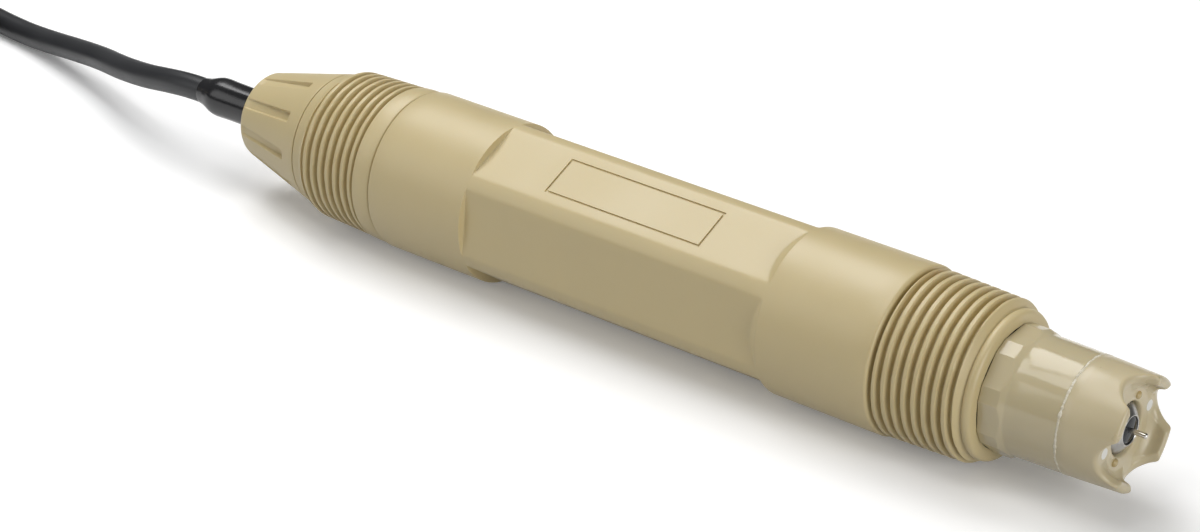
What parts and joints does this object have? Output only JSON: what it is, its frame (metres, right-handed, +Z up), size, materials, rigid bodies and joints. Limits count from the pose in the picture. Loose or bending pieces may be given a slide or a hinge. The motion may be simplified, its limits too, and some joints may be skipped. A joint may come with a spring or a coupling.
{
  "type": "redox sensor",
  "caption": "Process redox sensor with a hexagonal plastic body, pipe threads at both ends, a replaceable salt bridge tip and a cable, folded into a hank, with a plug.",
  "frame": {"origin": "on the floor under the middle of the sensor's body, cable left out", "axes": "+X along the sensor towards its sensing tip, +Z up, away from the floor it lies on"},
  "size_m": [0.4417, 0.0666, 0.0398],
  "materials": {
    "moulded_plastic": "satin, moulded PEEK",
    "bridge_plastic": "polished, machined PEEK",
    "seal_rubber": "matt",
    "steel": "satin",
    "resin": "cast",
    "cell_glass": "clear",
    "porous_ceramic": "fine porous",
    "titanium": "turned",
    "dark_glass": "polished",
    "platinum": "bright",
    "sensor_bead": "coated",
    "circuit_board": "solder resist",
    "chip_plastic": "moulded",
    "capacitor_sleeve": "shrunk film",
    "wire_insulation": "extruded",
    "shrink_tube": "semi-gloss",
    "cable_jacket": "extruded",
    "plug_plastic": "moulded",
    "gilt_contact": "gilt",
    "nickel": "nickel plated"
  },
  "bodies": {
    "root": {"body_shell": "moulded_plastic", "rear_fitting": "moulded_plastic", "rear_seal": "seal_rubber", "tail_cap": "moulded_plastic", "cable_grommet": "seal_rubber", "clamp_washer": "steel", "potting_plug": "resin", "electrode_carrier": "bridge_plastic", "carrier_seal": "seal_rubber", "standard_cell": "cell_glass", "reference_electrode": "cell_glass", "cell_junction": "porous_ceramic", "ground_ring": "titanium", "glass_stem": "dark_glass", "platinum_pin": "platinum", "ring_seals": "seal_rubber", "temperature_sensor": "sensor_bead", "amplifier_board": "circuit_board", "amplifier_chips": "chip_plastic", "board_capacitors": "capacitor_sleeve", "shield_can": "steel", "lead_wires": "wire_insulation", "shrink_sleeve": "shrink_tube", "cable_tube": "cable_jacket", "cable_hank": "cable_jacket", "plug_boot": "seal_rubber", "plug_grip": "plug_plastic", "plug_insert": "plug_plastic", "plug_pins": "gilt_contact"},
    "bridge_ring": {"bridge_seal": "seal_rubber"},
    "salt_bridge": {"salt_bridge_barrel": "bridge_plastic", "salt_bridge_tip": "bridge_plastic", "porous_junctions": "porous_ceramic"},
    "coupling_nut": {"plug_nut": "nickel"}
  },
  "joints": [
    {"name": "bridge_travel", "type": "slide", "parent": "root", "child": "bridge_ring", "axis": [1, 0, 0], "range_m": [0, 0.0075]},
    {"name": "bridge_turn", "type": "hinge", "parent": "bridge_ring", "child": "salt_bridge", "pos_m": [0.08246, 0, 0.0175], "axis": [1, 0, 0], "range_deg": [0, 1800]},
    {"name": "plug_nut_turn", "type": "hinge", "parent": "root", "child": "coupling_nut", "pos_m": [-0.233, -0.031, 0.0315], "axis": [1, 0, 0], "continuous": true}
  ],
  "couplings": [
    {"joint": "bridge_travel", "follows": "bridge_turn", "m_per_rad": 0.00023873}
  ]
}
